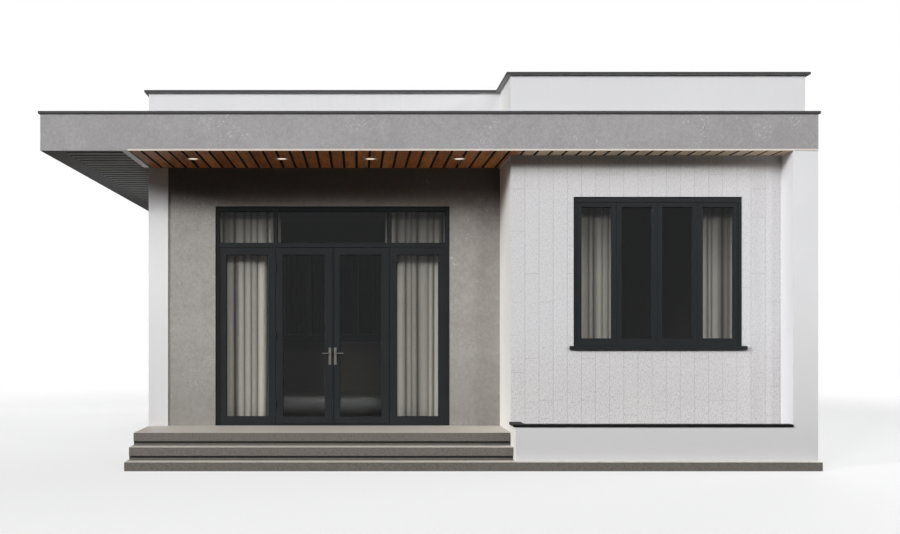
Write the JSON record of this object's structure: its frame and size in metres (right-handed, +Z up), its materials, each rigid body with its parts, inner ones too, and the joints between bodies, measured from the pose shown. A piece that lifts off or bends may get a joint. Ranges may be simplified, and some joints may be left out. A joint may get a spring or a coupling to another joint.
{
  "type": "single-storey flat-roofed house",
  "caption": "Flat-roofed single-storey house with a glazed porch door, a wing with a wide window, a deep canopy and a louvred side pergola.",
  "frame": {"origin": "middle of the base, on the ground", "axes": "+X to the right seen from the front, +Y from the front towards the back, +Z up"},
  "size_m": [8.797, 10.35, 4.54],
  "materials": {
    "granite": "matte",
    "floor": "matte",
    "white_render": "matte",
    "grey_render": "matte",
    "fascia_render": "matte",
    "cladding": "matte",
    "dark_coping": "satin",
    "black_metal": "satin",
    "light_trim": "satin",
    "timber": "satin",
    "anthracite": "satin",
    "grey_metal": "satin",
    "satin_steel": "satin",
    "glass": "polished",
    "lamp": "satin",
    "curtain": "matte"
  },
  "bodies": {
    "house": {"floor_slab": "floor", "bottom_step": "granite", "step_core": "granite", "middle_step": "granite", "landing_slab": "granite", "planter_box": "white_render", "planter_rim": "black_metal", "right_fin": "white_render", "left_pilaster": "white_render", "left_wall": "white_render", "right_wall": "white_render", "back_wall": "white_render", "porch_wall_left": "grey_render", "porch_wall_right": "grey_render", "porch_wall_top": "grey_render", "front_parapet": "white_render", "wing_side_wall": "white_render", "wing_front_wall": "white_render", "wing_cladding": "cladding", "roof_slab": "floor", "parapet_coping": "dark_coping", "front_fascia": "fascia_render", "canopy_slab": "fascia_render", "canopy_coping": "dark_coping", "soffit_boards": "timber", "soffit_trim": "light_trim", "downlights": "lamp", "pergola_beams": "fascia_render", "pergola_louvres": "grey_metal", "door_frame": "anthracite", "side_panels": "anthracite", "fixed_glass": "glass", "window_frames": "anthracite", "window_sashes": "anthracite", "window_glass": "glass", "window_sills": "anthracite", "curtains": "curtain", "curtain_tracks": "grey_metal"},
    "left_leaf": {"door_leaf_left": "anthracite", "door_glass_left": "glass", "handle_plates_left": "satin_steel"},
    "right_leaf": {"door_leaf_right": "anthracite", "door_glass_right": "glass", "handle_plates_right": "satin_steel"},
    "left_lever": {"lever_left": "satin_steel"},
    "right_lever": {"lever_right": "satin_steel"}
  },
  "joints": [
    {"name": "left_door_hinge", "type": "hinge", "parent": "house", "child": "left_leaf", "pos_m": [-1.838, -3.444, 1.495], "axis": [0, 0, -1], "range_deg": [0, 90]},
    {"name": "right_door_hinge", "type": "hinge", "parent": "house", "child": "right_leaf", "pos_m": [-0.423, -3.444, 1.495], "axis": [0, 0, 1], "range_deg": [0, 90]},
    {"name": "left_lever_spindle", "type": "hinge", "parent": "left_leaf", "child": "left_lever", "pos_m": [-1.1635, -3.41, 1.278], "axis": [0, -1, 0], "range_deg": [0, 40], "stiffness_Nm_per_rad": 1.2, "springref_deg": -20.05},
    {"name": "right_lever_spindle", "type": "hinge", "parent": "right_leaf", "child": "right_lever", "pos_m": [-1.0975, -3.41, 1.278], "axis": [0, 1, 0], "range_deg": [0, 40], "stiffness_Nm_per_rad": 1.2, "springref_deg": -20.05}
  ]
}
